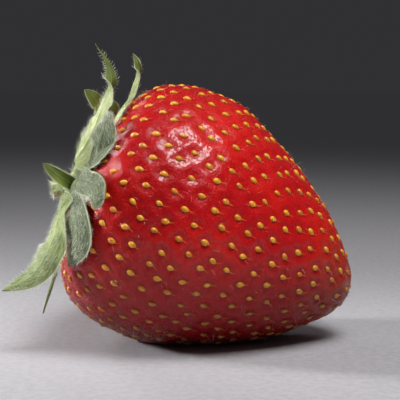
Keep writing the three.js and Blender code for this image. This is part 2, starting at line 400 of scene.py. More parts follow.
@dataclass(frozen=True)
class SeedFinish:
    """Smooth golden seeds with dark flecks, and painted shade: browner low on the fruit and olive towards
    their lower edges.
    """

    gold: Colour = (0.95, 0.45, 0.020)
    amber: Colour = (0.78, 0.25, 0.012)
    olive: Colour = (0.30, 0.14, 0.010)
    # painted shade: the brown that seeds turn low on the fruit, up to the height below
    brown: Colour = (0.24, 0.065, 0.007)
    shaded_height: float = 20.0

    def material(self) -> bpy.types.Material:
        """Builds the seeds' material."""
        r = Recipe("seed")
        p = r.place()
        mix = r.grain(p, 0.45, 2.0).step(0.4, 0.62)
        colour = r.blend(mix, self.gold, self.amber)
        fleck = r.grain(p, 2.4, 1.0).step(0.57, 0.64)
        height = r.measure(p, (0.0, 0.0, 1.0), (0.0, 0.0, 0.0)) / MM
        # painted shade: seeds low on the fruit turn brown
        colour = r.blend((1.0 - height.step(0.0, self.shaded_height)) * 0.85, colour, self.brown)
        # painted shade on each seed's lower side, in olive; the dark flecks mixed in are the seeds' own
        colour = r.blend((r.attribute("low") * 0.75 + fleck * 0.5).held(), colour, self.olive)
        net = r.grain(p, 5.0, 2.0, 0.6)
        return r.finish(
            Base_Color=colour,
            Roughness=0.30 + 0.15 * net,
            Subsurface_Weight=0.1,
            Subsurface_Radius=(1.0, 0.5, 0.1),
            Subsurface_Scale=0.4 * MM,
            Coat_Weight=0.5,
            Coat_Roughness=0.12,
            Normal=r.bumps(net, 0.05, 0.5),
        )


@dataclass(frozen=True)
class ThreadFinish:
    """The dried threads at the seeds' ends."""

    rust: Colour = (0.60, 0.15, 0.02)
    tan: Colour = (0.66, 0.27, 0.08)

    def material(self) -> bpy.types.Material:
        """Builds the threads' material."""
        r = Recipe("thread")
        spots = r.grain(r.place(), 1.5, 2.0)
        return r.finish(
            Base_Color=r.blend(spots.step(0.4, 0.6), self.rust, self.tan),
            Roughness=0.4 + 0.2 * spots,
            Subsurface_Weight=0.1,
            Subsurface_Scale=0.3 * MM,
        )


class LeafTone(Enum):
    """The lighter and the darker colour of a leaf's outer face. The tones are one face in painted light: the
    first painted as lit, the second painted in shade, and the third a greener face between them.
    """

    # painted light: the outer face as if lit
    PALE = ((0.78, 0.84, 0.45), (0.25, 0.34, 0.09))
    # painted shade: the same face as if in shade
    GREY = ((0.25, 0.30, 0.16), (0.040, 0.058, 0.024))
    GREEN = ((0.42, 0.50, 0.18), (0.11, 0.165, 0.032))


@dataclass(frozen=True)
class LeafFinish:
    """A leaf: a dull outer face streaked with silky hairs, a smooth green inner face and pale margins."""

    tone: LeafTone
    inner: Colour = (0.24, 0.31, 0.045)
    inner_deep: Colour = (0.11, 0.16, 0.018)
    margin: Colour = (0.70, 0.74, 0.50)
    veins: float = 58.0
    vein_slant: float = 0.22

    def material(self) -> bpy.types.Material:
        """Builds the leaf's material, which reads the leaf's own across, along and inner numbers."""
        r = Recipe("leaf_" + self.tone.name.lower())
        p = r.place()
        across, along, inner = (r.attribute(n) for n in ("across", "along", "inner"))
        light, dark = self.tone.value
        slant = {0: across * 8.0 + along * 3.0, 1: along * 7.0 - abs(across) * 4.0, 2: inner}
        fibre = r.add("ShaderNodeCombineXYZ", {}, slant)
        streaks = {"Vector": fibre, "Scale": 1.6, "Detail": 4.0, "Roughness": 0.65}
        silk = r.add("ShaderNodeTexNoise", {}, streaks, "Fac")
        patches = r.grain(p, 0.35, 3.0)
        sheen = silk.step(0.36, 0.66) * 0.75 + patches.step(0.35, 0.65) * 0.35 - 0.05
        outer = r.blend(sheen.held(), dark, light)
        rib = 1.0 - abs(across).step(0.0, 0.13)
        branch = (along - abs(across) * self.vein_slant) * self.veins
        side = abs(r.add("ShaderNodeMath", {"operation": "SINE"}, {0: branch}))
        vein = (1.0 - side.step(0.0, 0.35)) * 0.5
        face = r.blend((patches.step(0.3, 0.7) * 0.7 + vein * 0.3).held(), self.inner_deep, self.inner)
        colour = r.blend(inner.step(0.4, 0.6), outer, face)
        colour = r.blend(abs(across).step(0.90, 0.97) * 0.6, colour, self.margin)
        colour = r.blend(rib * 0.25, colour, light)
        height = silk * 0.55 + rib * 0.5 + vein * 0.35
        return r.finish(
            Base_Color=colour,
            Roughness=0.55 + 0.25 * silk,
            Subsurface_Weight=0.12,
            Subsurface_Radius=(0.6, 1.0, 0.2),
            Subsurface_Scale=0.5 * MM,
            Normal=r.bumps(height, 0.30, 0.8),
        )


@dataclass(frozen=True)
class StalkFinish:
    """Pale green, ribbed stalk and disc."""

    light: Colour = (0.52, 0.58, 0.30)
    dark: Colour = (0.22, 0.27, 0.10)

    def material(self) -> bpy.types.Material:
        """Builds the stalk's material."""
        r = Recipe("stalk")
        p = r.place()
        streaks = r.grain(p, 0.9, 4.0, 0.65)
        return r.finish(
            Base_Color=r.blend(streaks.step(0.35, 0.65), self.dark, self.light),
            Roughness=0.6 + 0.2 * streaks,
            Subsurface_Weight=0.1,
            Subsurface_Scale=0.5 * MM,
            Normal=r.bumps(streaks, 0.2, 0.6),
        )


@dataclass(frozen=True)
class HairFinish:
    """Fine, silky white hairs."""

    green: Colour = (0.52, 0.58, 0.34)
    white: Colour = (0.88, 0.90, 0.76)

    def material(self) -> bpy.types.Material:
        """Builds the hairs' material."""
        r = Recipe("hair")
        shine = r.grain(r.place(), 0.8, 1.0)
        return r.finish(
            Base_Color=r.blend(shine.step(0.3, 0.6), self.green, self.white),
            Roughness=0.35 + 0.2 * shine,
            Alpha=0.8,
        )


@dataclass(frozen=True)
class FloorFinish:
    """A plain pale floor with a little tooth."""

    light: Colour = (0.46, 0.45, 0.47)
    dark: Colour = (0.40, 0.39, 0.41)

    def material(self) -> bpy.types.Material:
        """Builds the floor's material."""
        r = Recipe("floor")
        tooth = r.grain(r.place(), 0.8, 4.0, 0.7)
        return r.finish(
            Base_Color=r.blend(tooth.step(0.35, 0.65), self.dark, self.light),
            Roughness=0.75,
            Normal=r.bumps(tooth, 0.15, 0.4),
        )


# ---------------------------------------------------------------------------------------------------------
# The fruit
# ---------------------------------------------------------------------------------------------------------


@dataclass(frozen=True)
class Swelling:
    """A low swelling of the flesh: along the axis, angle round it from the top, height and reach."""

    along: float
    turn: float
    height: float
    reach: float


@dataclass(frozen=True)
class Outline:
    """The fruit's outline, and the frame of the berry in the model.

    The berry's own coordinates are [along, up, near]: along its axis towards the tip, up square to it, and
    level towards the front.
    """

    tilt: float = math.radians(24.0)
    rest_cut: float = 0.6
    points: tuple[tuple[float, float], ...] = (
        (1.6, 0), (1.3, 3.2), (0.6, 7), (0.15, 10), (0, 12.5), (0.7, 14.8), (3.3, 18.3), (6.1, 19.9),
        (9.9, 20.9), (13.4, 21), (16.8, 21), (19.1, 20.5), (23.1, 19), (28.9, 16.4), (35.6, 12.4),
        (38.6, 10.2), (41.6, 7.4), (43.7, 5.3), (45, 3.5), (45.8, 1.8), (46.1, 0),
    )  # fmt: skip
    steps: int = 1200

    def __post_init__(self) -> None:
        """Samples the outline by length and finds where the axis starts in the model."""
        dense, _ = through(np.array(self.points, float), np.linspace(0, 1, self.steps * 4))
        dense[:, 1] = np.maximum(dense[:, 1], 0.0)
        run = np.concatenate([[0.0], np.cumsum(np.linalg.norm(np.diff(dense, axis=0), axis=1))])
        even = np.linspace(0.0, run[-1], self.steps)
        line = np.stack([np.interp(even, run, dense[:, i]) for i in range(2)], axis=1)
        way = unit(np.gradient(line, axis=0))
        object.__setattr__(self, "line", line)
        object.__setattr__(self, "lengths", even)
        object.__setattr__(self, "normals", np.stack([-way[:, 1], way[:, 0]], axis=1))
        c, s = math.cos(self.tilt), math.sin(self.tilt)
        axes = np.array([[c, 0, -s], [s, 0, c], [0, -1, 0]])
        low = line[:, :1] * axes[0] - line[:, 1:] * axes[1]
        lowest = low[np.argmin(low[:, 2])]
        object.__setattr__(self, "axes", axes)
        object.__setattr__(self, "start", np.array([-lowest[0], 0.0, -lowest[2] - self.rest_cut]))

    def to_model(self, berry: Numbers) -> Numbers:
        """Berry coordinates in millimetres to model coordinates in metres."""
        return (berry @ self.axes + self.start) * MM

    def turn_to_model(self, berry: Numbers) -> Numbers:
        """Berry directions to model directions."""
        return berry @ self.axes

    def at(self, length: Numbers) -> tuple[Numbers, Numbers]:
        """Points (along, radius) and outward normals at lengths along the outline."""
        point = np.stack([np.interp(length, self.lengths, self.line[:, i]) for i in range(2)], axis=-1)
        normal = np.stack([np.interp(length, self.lengths, self.normals[:, i]) for i in range(2)], axis=-1)
        return point, unit(normal)

    def lifted(self, berry: Numbers, clearance: float) -> Numbers:
        """Moves points that are nearer to the fruit than a clearance out to it, along the fruit's normal."""
        radius = np.hypot(berry[..., 1], berry[..., 2])
        here = np.stack([berry[..., 0], radius], axis=-1)
        coarse = self.line[::4]
        nearest = np.argmin(((here[..., None, :] - coarse) ** 2).sum(-1), axis=-1) * 4
        nearest = np.clip(nearest, 4, len(self.line) - 5)
        normal = self.normals[nearest]
        missing = np.maximum(clearance - ((here - self.line[nearest]) * normal).sum(-1), 0.0)
        grown = (radius + normal[..., 1] * missing) / np.maximum(radius, 1e-6)
        along = berry[..., 0] + normal[..., 0] * missing
        return np.stack([along, berry[..., 1] * grown, berry[..., 2] * grown], axis=-1)


@dataclass(frozen=True)
class SeedPattern:
    """Where the seeds sit: a spiral with the golden angle between each seed and the next."""

    area_each: float = 9.3
    turn_each: float = math.radians(137.508)
    first_turn: float = math.radians(20.0)
    scatter: float = 0.28
    edge_radius: float = 12.6
    seed: int = 7

    def places(self, outline: Outline) -> tuple[Numbers, Numbers]:
        """Works out the pattern.

        Args:
            outline: the fruit's outline.

        Returns:
            Lengths along the outline, and angles round the axis.
        """
        radius = outline.line[:, 1]
        step = outline.lengths[1]
        from_tip = np.cumsum((2 * math.pi * radius * step)[::-1])[::-1]
        edge = int(np.argmax(radius > self.edge_radius))
        count = int(from_tip[edge] / self.area_each)
        k = np.arange(count)
        length = np.interp(-(k + 0.6) * self.area_each, -from_tip, outline.lengths)
        turn = self.first_turn + k * self.turn_each
        rng = np.random.default_rng(self.seed)
        radius_here = np.maximum(np.interp(length, outline.lengths, radius), 1.5)
        spread = self.scatter * np.clip(radius_here / 8.0, 0.2, 1.0)
        length = length + rng.normal(0.0, 1.0, count) * spread
        turn = turn + rng.normal(0.0, 1.0, count) * spread / radius_here
        return length, turn


@dataclass
class Fruit:
    """The fruit's skin, with a pit for each seed."""

    outline: Outline
    pattern: SeedPattern
    rings: int = 262
    segments: int = 372
    pit_depth: float = 0.24
    pit_length: float = 1.22
    pit_width: float = 1.02
    rim_height: float = 0.05
    rim_place: float = 1.62
    rim_sharpness: float = 6.0
    batch: int = 4000
    swellings: tuple[Swelling, ...] = (
        Swelling(14, 5, 0.45, 7),
        Swelling(33, 165, 0.35, 5),
        Swelling(26, 95, 0.3, 8),
        Swelling(20, 250, 0.35, 8),
    )

    def body_point(self, length: Numbers, turn: Numbers) -> tuple[Numbers, Numbers]:
        """The swollen body without pits.

        Args:
            length: lengths along the outline.
            turn: angles round the axis, from the top towards the front.

        Returns:
            Berry points and outward normals.
        """
        profile, normal = self.outline.at(length)
        ring = np.stack([np.zeros_like(turn), np.cos(turn), np.sin(turn)], axis=-1)
        axis = np.array([1.0, 0.0, 0.0])
        point = profile[..., :1] * axis + profile[..., 1:] * ring
        outwards = normal[..., :1] * axis + normal[..., 1:] * ring
        grown = np.zeros(point.shape[:-1])
        for s in self.swellings:
            angle = math.radians(s.turn)
            radius = profile[..., 1]
            middle = np.stack(
                [np.full_like(radius, s.along), radius * math.cos(angle), radius * math.sin(angle)], axis=-1
            )
            gap = np.linalg.norm(point - middle, axis=-1)
            grown += s.height * np.exp(-((gap / s.reach) ** 2))
        return point + ring * grown[..., None], outwards

    def relief(self, point: Numbers, seeds: Numbers, ways: Numbers) -> tuple[Numbers, Numbers]:
        """Pits and rims round the seeds.

        Args:
            point: berry points of the skin.
            seeds: berry points of the seeds.
            ways: unit directions of the seeds, towards the tip.

        Returns:
            The height over the body, and how deep in a pit each point is, from 0 to 1.
        """
        height = np.zeros(len(point))
        depth = np.zeros(len(point))
        for start in range(0, len(point), self.batch):
            part = slice(start, start + self.batch)
            gap = point[part, None, :] - seeds[None, :, :]
            along = (gap * ways[None]).sum(-1)
            square = (gap**2).sum(-1)
            across = np.maximum(square - along**2, 0.0)
            d2 = (along / self.pit_length) ** 2 + across / self.pit_width**2
            d2 = np.sort(d2, axis=1)[:, :2]
            pit = np.exp(-(d2**1.25) * 0.9)
            rim = np.exp(-((np.sqrt(d2) - self.rim_place) ** 2) * self.rim_sharpness)
            depth[part] = pit.max(axis=1)
            height[part] = -self.pit_depth * pit.sum(axis=1) + self.rim_height * rim.max(axis=1)
        return height, depth

    def seed_frames(self) -> tuple[Numbers, Numbers, Numbers]:
        """The seeds' places, outward normals and directions towards the tip, in berry coordinates."""
        length, turn = self.pattern.places(self.outline)
        point, normal = self.body_point(length, turn)
        ahead, _ = self.body_point(length + 0.4, turn)
        way = ahead - point
        way = unit(way - (way * normal).sum(-1, keepdims=True) * normal)
        return point, normal, way

    def build(self) -> None:
        """Builds the skin."""
        total = self.outline.lengths[-1]
        length = np.linspace(0.0, total, self.rings)[1:-1]
        turn = np.linspace(0.0, 2 * math.pi, self.segments, endpoint=False)
        grid = np.meshgrid(length, turn, indexing="ij")
        point, normal = self.body_point(grid[0].ravel(), grid[1].ravel())
        seeds, _, ways = self.seed_frames()
        height, depth = self.relief(point, seeds, ways)
        base = self.outline.to_model(point)
        base[:, 2] = np.maximum(base[:, 2], 0.0)
        out = self.outline.turn_to_model(normal)
        skin = base + out * height[:, None] * MM
        skin[:, 2] = np.maximum(skin[:, 2], 0.0)
        ends, _ = self.body_point(np.array([0.0, total]), np.zeros(2))
        skin = np.vstack([skin, self.outline.to_model(ends)])
        faces = Maker.grid_faces(self.rings - 2, self.segments, wrap=True)[:, ::-1].tolist()
        top, tip = len(skin) - 2, len(skin) - 1
        last = (self.rings - 3) * self.segments
        for i in range(self.segments):
            j = (i + 1) % self.segments
            faces.append([top, i, j])
            faces.append([tip, last + j, last + i])
        axis = tuple(float(x) for x in self.outline.axes[0])
        start = tuple(float(x) * MM for x in self.outline.start)
        made = Maker.piece(
            "skin",
            skin,
            faces,
            [FleshFinish().material(axis, start)],
            "flesh",
            attributes={"pit": np.append(depth, [0.0, 0.0])},
        )
        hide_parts("fruit")


@dataclass
class Seeds:
    """The seeds with their dried threads, in spiral rows."""

    fruit: Fruit
    length: float = 1.28
    width: float = 0.92
    height: float = 0.74
    sink: float = 0.20
    rows: int = 13
    around: int = 12
    stations: int = 11
    thread_length: float = 0.85
    thread_radius: float = 0.045
    seed: int = 11

    def body(self) -> tuple[Numbers, list[list[int]], Numbers]:
        """One seed along X, pointed ahead.

        Returns:
            Points for a length, width and height of 1, faces, and how low each point is, from 0 to 1.
        """
        s = np.linspace(0.0, math.pi, self.stations)[1:-1]
        x = -np.cos(s)
        r = np.sin(s) ** 0.9 * (1.0 - 0.30 * smooth_step((x + 0.2) / 1.2))
        a = np.linspace(0, 2 * math.pi, self.around, endpoint=False)
        ring = [np.outer(r, wave).ravel() for wave in (np.cos(a), np.sin(a))]
        points = np.stack([np.repeat(x, self.around), *ring], axis=1)
        rows = len(x)
        points = np.vstack([points, [[-1.0, 0, 0]], [[1.10, 0, 0]]]) * 0.5
        faces = Maker.grid_faces(rows, self.around, wrap=True).tolist()
        back, ahead = len(points) - 2, len(points) - 1
        last = (rows - 1) * self.around
        for i in range(self.around):
            j = (i + 1) % self.around
            faces.append([back, j, i])
            faces.append([ahead, last + i, last + j])
        faces = [f[::-1] for f in faces]
        # how low each point sits on the seed, for the olive painted shade on its lower side
        low = smooth_step(0.35 - points[:, 2] * 2.2)
        return points, faces, low

    def thread(self, rng: np.random.Generator) -> tuple[Numbers, list[list[int]]]:
        """One thread that leaves the seed's point and droops over the skin.

        Args:
            rng: the source of its bends.

        Returns:
            Points in millimetres and faces.
        """
        sides, stations = 5, 7
        long = self.thread_length * rng.uniform(0.6, 1.15)
        s = np.linspace(0.0, 1.0, stations)
        sway = rng.normal(0.0, 0.28)
        x = self.length * 0.48 + long * s * 0.95
        y = sway * s**1.6
        z = 0.05 + 0.30 * np.sin(s * math.pi * 0.75) * rng.uniform(0.7, 1.3)
        r = self.thread_radius * (1.15 - 0.75 * s + 0.45 * s**6)
        a = np.linspace(0, 2 * math.pi, sides, endpoint=False)
        points = np.stack(
            [
                np.repeat(x, sides),
                (y[:, None] + np.outer(r, np.cos(a))).ravel(),
                (z[:, None] + np.outer(r, np.sin(a))).ravel(),
            ],
            axis=1,
        )
        faces = [f[::-1] for f in Maker.grid_faces(stations, sides, wrap=True).tolist()]
        faces.append(list(range(sides)))
        faces.append(list(range(len(points) - sides, len(points)))[::-1])
        return points, faces

    def build(self) -> None:
        """Builds the rows of seeds."""
        rng = np.random.default_rng(self.seed)
        place, normal, way = self.fruit.seed_frames()
        outline = self.fruit.outline
        unit_seed, seed_faces, low = self.body()
        finishes = [SeedFinish().material(), ThreadFinish().material()]
        for row in range(self.rows):
            points, faces, kinds, lows = [], [], [], []
            count = 0
            for k in range(row, len(place), self.rows):
                grow = rng.uniform(0.88, 1.1)
                yaw = rng.normal(0.0, 0.16)
                side = np.cross(normal[k], way[k])
                ahead = way[k] * math.cos(yaw) + side * math.sin(yaw)
                across = np.cross(normal[k], ahead)
                turn = outline.turn_to_model(np.stack([ahead, across, normal[k]]))
                centre = outline.to_model(place[k] - normal[k] * self.sink)
                centre[2] = max(centre[2], self.height * 0.5 * MM)
                size = np.array([self.length, self.width, self.height]) * grow
                thread, thread_faces = self.thread(rng)
                for part, part_faces, kind in (
                    (unit_seed * size, seed_faces, 0),
                    (thread, thread_faces, 1),
                ):
                    put = part @ turn * MM + centre
                    put[:, 2] = np.maximum(put[:, 2], 0.02 * MM)
                    points.append(put)
                    faces.extend([[i + count for i in f] for f in part_faces])
                    kinds.extend([kind] * len(part_faces))
                    lows.append(low if kind == 0 else np.zeros(len(part)))
                    count += len(part)
            lows_of_points = {"low": np.concatenate(lows)}
            name = f"seed_row_{row + 1:02d}"
            Maker.piece(name, np.vstack(points), faces, finishes, "seed", kinds, lows_of_points)


# ---------------------------------------------------------------------------------------------------------
# The calyx
# ---------------------------------------------------------------------------------------------------------


@dataclass(frozen=True)
class Leaf:
    """One leaf of the calyx, in berry coordinates.

    Args:
        name: the piece's name, the same as its CAD node's.
        midrib: points along its middle, from base to point.
        half: half its width where it is widest.
        widest: where that is, from 0 at the base to 1 at the point.
        taper: how blunt the point is.
        layer: its layer over the fruit.
        looks: the ways that the outer face looks, from base to point.
        arch: how much it is arched about its midrib.
        rolls: how far the two margins roll outwards, in radians.
        tone: how the outer face looks, in which painted light.
        fuzz: hairs on it.
    """

    name: str
    midrib: tuple[Triple, ...]
    half: float
    widest: float
    taper: float
    layer: int
    looks: tuple[Triple, ...]
    arch: float
    rolls: tuple[float, float]
    tone: LeafTone
    fuzz: int

    CLEARANCE = 0.65
    LAYER_HEIGHT = 0.8
    ROWS = 60
    COLUMNS = 28
    FINER = 4
    RIPPLE = 0.10
    THICKNESS = 0.38
    THINNING = 0.22
    RIB_HEIGHT = 0.16
    RIB_WIDTH = 0.10

    def half_width(self, share: Numbers) -> Numbers:
        """Half the leaf's width at shares of its length."""
        rise = self.half * (0.35 + 0.65 * np.sin(np.minimum(share / self.widest, 1.0) * math.pi / 2))
        past = np.clip((share - self.widest) / (1 - self.widest), 0.0, 1.0)
        fall = self.half * (1.0 - past**2) ** self.taper
        return np.where(share < self.widest, rise, np.maximum(fall, 0.05))

    def outward(self, share: Numbers) -> Numbers:
        """The way that the outer face looks at shares of the length."""
        looks = np.array(self.looks, float)
        place = share * (len(looks) - 1)
        first = np.minimum(place.astype(int), len(looks) - 2)
        w = smooth_step(place - first)[:, None]
        return looks[first] * (1 - w) + looks[first + 1] * w

    def surface(self, outline: Outline) -> dict[str, Numbers]:
        """Works out the leaf's middle surface.

        Args:
            outline: the fruit's outline, which the leaf stays clear of.

        Returns:
            Grids of berry points ("point"), outer normals ("out"), across, along, thickness ("thick") and
            the midrib's height ("rib").
        """
        share = np.linspace(0.0, 1.0, self.ROWS)
        middle, tangent = through(np.array(self.midrib, float), share)
        look = self.outward(share)
        out = unit(look - (look * tangent).sum(-1, keepdims=True) * tangent)
        across_way = -np.cross(tangent, out)
        half = self.half_width(share)
        v = np.linspace(-1.0, 1.0, self.COLUMNS * self.FINER + 1)
        strength = smooth_step((share - 0.15) / 0.3)[:, None]
        rolled = np.where(v < 0, self.rolls[0], self.rolls[1]) * smooth_step((abs(v) - 0.3) / 0.6)
        slope = (rolled[None, :] * strength - 2 * self.arch * abs(v)[None, :]) * half[:, None] / self.half
        wave = np.sin(share * 31.0 + self.half * 9.0)[:, None]
        ripple = self.RIPPLE * wave * smooth_step((abs(v) - 0.5) / 0.5)
        mid = self.COLUMNS * self.FINER // 2
        step = half[:, None] / mid
        x = np.zeros_like(slope)
        y = np.zeros_like(slope)
        for side, order in ((1, range(mid + 1, len(v))), (-1, range(mid - 1, -1, -1))):
            for c in order:
                x[:, c] = x[:, c - side] + side * step[:, 0] * np.cos(slope[:, c])
                y[:, c] = y[:, c - side] + step[:, 0] * np.sin(slope[:, c])
        keep = slice(0, None, self.FINER)
        y = y + ripple * half[:, None] * 0.5
        x, y, slope, v = x[:, keep], y[:, keep], slope[:, keep], v[keep]
        slope = slope * np.sign(v)[None, :]
        point = middle[:, None] + across_way[:, None] * x[..., None] + out[:, None] * y[..., None]
        normal = out[:, None] * np.cos(slope)[..., None] - across_way[:, None] * np.sin(slope)[..., None]
        point = outline.lifted(point, self.CLEARANCE + self.layer * self.LAYER_HEIGHT)
        thinned = smooth_step((abs(v)[None, :] - 0.1) / 0.9) * np.ones((self.ROWS, 1))
        thick = self.THICKNESS - self.THINNING * thinned
        ridge = np.exp(-((v / self.RIB_WIDTH) ** 2))[None, :]
        rib = self.RIB_HEIGHT * ridge * (1 - share[:, None]) * np.minimum(half[:, None], 1.0)
        return {
            "point": point,
            "out": unit(normal),
            "across": np.broadcast_to(v, x.shape),
            "along": np.broadcast_to(share[:, None], x.shape),
            "thick": thick,
            "rib": rib,
        }

    def build(self, outline: Outline, finish: bpy.types.Material) -> dict[str, Numbers]:
        """Builds the leaf.

        Args:
            outline: the fruit's outline.
            finish: its material.

        Returns:
            The surface that the hairs stand on.
        """
        s = self.surface(outline)
        rows, columns = s["across"].shape
        outer = s["point"] + s["out"] * (s["thick"] / 2 + s["rib"])[..., None]
        inner = s["point"] - s["out"] * (s["thick"] / 2)[..., None]
        points = outline.to_model(np.concatenate([outer.reshape(-1, 3), inner.reshape(-1, 3)]))
        n = rows * columns
        face = Maker.grid_faces(rows, columns)
        faces = face[:, ::-1].tolist() + (face + n).tolist()
        for r in range(rows - 1):
            a, b = r * columns, (r + 1) * columns
            faces.append([a, b, b + n, a + n])
            a, b = a + columns - 1, b + columns - 1
            faces.append([a, a + n, b + n, b])
        last = (rows - 1) * columns
        for c in range(columns - 1):
            faces.append([c, c + n, c + 1 + n, c + 1])
            faces.append([last + c, last + c + 1, last + c + 1 + n, last + c + n])
        two = {k: np.concatenate([s[k].ravel(), s[k].ravel()]) for k in ("across", "along")}
        two["inner"] = np.repeat([0.0, 1.0], n)
        made = Maker.piece(self.name + "_leaf", points, faces, [finish], "leaf", attributes=two)
        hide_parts(self.name)
        return s


LEAVES = (
    Leaf(
        "sepal_upper_long",
        (
            (-3.8, 2.1, 2.5), (-3.5, 3.4, 4.1), (-3.1, 5.2, 5.2), (-2.9, 7.4, 5.8), (-2.9, 10, 5.8),
            (-3.1, 12.6, 5.2), (-3.4, 15, 4.4), (-4, 17, 3.4), (-5.6, 18.9, 2.4), (-8.5, 20.7, 1.5),
        ),
        2.9, 0.14, 1.5, 2,
        (
            (-0.75, 0, 0.65), (-0.65, 0, 0.75), (-0.7, 0, 0.7), (-0.85, 0, 0.5), (-0.2, 0.1, -0.95),
            (-0.3, 0.1, -0.95),
        ),
        0.35, (0, 0), LeafTone.PALE, 1100,
    ),
    Leaf(
        "sepal_upper_broad",
        (
            (-1.4, 1.3, 3.6), (-0.3, 3.1, 9), (-0.4, 5.7, 12.6), (-0.8, 8.5, 13.4),
            (-1.2, 10.6, 12.4), (-1.6, 12.2, 10.4),
        ),
        3.1, 0.28, 1.1, 0,
        (
            (-0.7, 0, 0.7), (-0.55, 0, 0.85),
        ),
        0.25, (0, 0), LeafTone.GREY, 1000,
    ),
    Leaf(
        "sepal_upper_turned",
        (
            (-3.3, 2.8, 0), (-2.4, 5.4, -0.6), (-1.9, 8.2, 0), (-1.7, 11, 1.5), (-2.1, 13.6, 1.8),
        ),
        1.4, 0.78, 0.5, 0,
        (
            (-1, 0, 0.2), (-0.7, 0, -0.6), (0.1, 0, -0.95),
        ),
        0.3, (0, 0), LeafTone.GREEN, 60,
    ),
    Leaf(
        "bract_upper_slim",
        (
            (-1.8, 2.5, 1.5), (-0.6, 6, 6.4), (0.1, 10.3, 9.6), (0.3, 14.2, 5.4), (0, 17, 3),
            (-0.3, 19.1, 2), (-1.1, 20.7, 1.5), (-2.4, 21.8, 1),
        ),
        0.9, 0.45, 0.7, 0,
        (
            (-0.8, 0, 0.6), (-0.8, -0.1, 0.6), (0.3, 0, -0.95),
        ),
        0.4, (0, 0), LeafTone.PALE, 160,
    ),
    Leaf(
        "bract_upper_reflexed",
        (
            (-3.5, 2.5, -1.5), (-3.5, 6, -2.4), (-3.7, 9, -3.4), (-4.3, 11.2, -4),
            (-5.8, 12.4, -3.5), (-7.6, 13.1, -3),
        ),
        1.4, 0.62, 0.8, 1,
        (
            (-1, 0, 0.2), (-0.6, 0, -0.6), (0.1, -0.3, -0.95),
        ),
        0.3, (0, 0), LeafTone.GREEN, 60,
    ),
    Leaf(
        "bract_front_reflexed",
        (
            (-3.5, -1.2, 4.4), (-2.8, -0.9, 6.8), (-2.9, -0.6, 9), (-4.1, -0.3, 10.1),
            (-5.9, 0.1, 10.3), (-7.9, 0.6, 10),
        ),
        1.25, 0.5, 0.8, 2,
        (
            (-1, 0, 0.1), (-0.8, 0, -0.6), (0, -0.1, -1), (0, -0.1, -1),
        ),
        0.4, (0, 0), LeafTone.GREEN, 120,
    ),
    Leaf(
        "sepal_front_folded",
        (
            (-2, -0.8, 4.2), (-0.7, 0.5, 10.5), (0.9, 1.6, 15.5), (2, 1.8, 18.2), (2.6, 0.5, 19.6),
            (2.9, -1.3, 20),
        ),
        2.4, 0.5, 0.75, 1,
        (
            (-0.8, 0, 0.5), (-0.6, 0, 0.8), (-0.4, 0, 0.9),
        ),
        0.2, (0, 1.9), LeafTone.GREY, 700,
    ),
    Leaf(
        "sepal_lower_broad",
        (
            (-1.6, -3.2, 4.2), (0.8, -3.6, 10.3), (2.1, -5, 14.7), (2.8, -7.6, 16.3),
            (2.4, -11.8, 14.6),
        ),
        3.6, 0.45, 1, 0,
        (
            (-0.8, 0, 0.5), (-0.6, -0.1, 0.8), (-0.5, -0.4, 0.8),
        ),
        0.2, (0, 0.9), LeafTone.GREY, 1100,
    ),
    Leaf(
        "sepal_lower_long",
        (
            (-3.4, -3.9, 3.4), (-2.5, -4.6, 7), (-1.9, -6.6, 11), (-1.25, -9, 13.7),
            (-1.4, -12.3, 14.4), (-2.1, -15.7, 13.3), (-5.6, -20.3, 11),
        ),
        3, 0.5, 0.85, 1,
        (
            (-0.7, 0, 0.7), (-0.7, 0, 0.7), (-0.5, 0.1, 0.85),
        ),
        0.3, (0, 0), LeafTone.GREEN, 1500,
    ),
    Leaf(
        "bract_lower_slim",
        (
            (-2.1, -5.7, 0.9), (-1, -10, 2.3), (0.1, -13.5, 3), (0.6, -18, 2.8), (1.2, -23.2, 2),
        ),
        0.5, 0.5, 0.8, 0,
        (
            (-1, 0, 0.3), (-0.8, 0, 0.6), (-0.6, 0, 0.8),
        ),
        0.4, (0, 0), LeafTone.GREEN, 90,
    ),
    Leaf(
        "sepal_back_lower",
        (
            (-2.1, -5, -2.5), (-1.4, -8, -6.5), (-0.6, -11, -9.5), (1, -13.5, -12.5),
        ),
        3, 0.45, 1.2, 0,
        (
            (-1, 0, -0.1), (-0.8, -0.3, -0.5),
        ),
        0.2, (0, 0), LeafTone.PALE, 300,
    ),
    Leaf(
        "bract_back_slim",
        (
            (-3.4, -2.2, -4.2), (-2.4, -2.4, -8), (-1.4, -2.6, -11.5), (0.2, -2.4, -14.8),
        ),
        1.2, 0.5, 1.1, 1,
        (
            (-1, 0, -0.1), (-0.8, 0, -0.6),
        ),
        0.4, (0, 0), LeafTone.GREEN, 160,
    ),
    Leaf(
        "sepal_back_upper",
        (
            (-2.1, 0.6, -3.7), (-1.4, 4, -8), (-0.5, 6.8, -11.5), (1.4, 9.5, -14.5),
        ),
        3, 0.45, 1.2, 0,
        (
            (-1, 0, -0.1), (-0.8, 0.3, -0.5),
        ),
        0.2, (0, 0), LeafTone.PALE, 300,
    ),
)  # fmt: skip


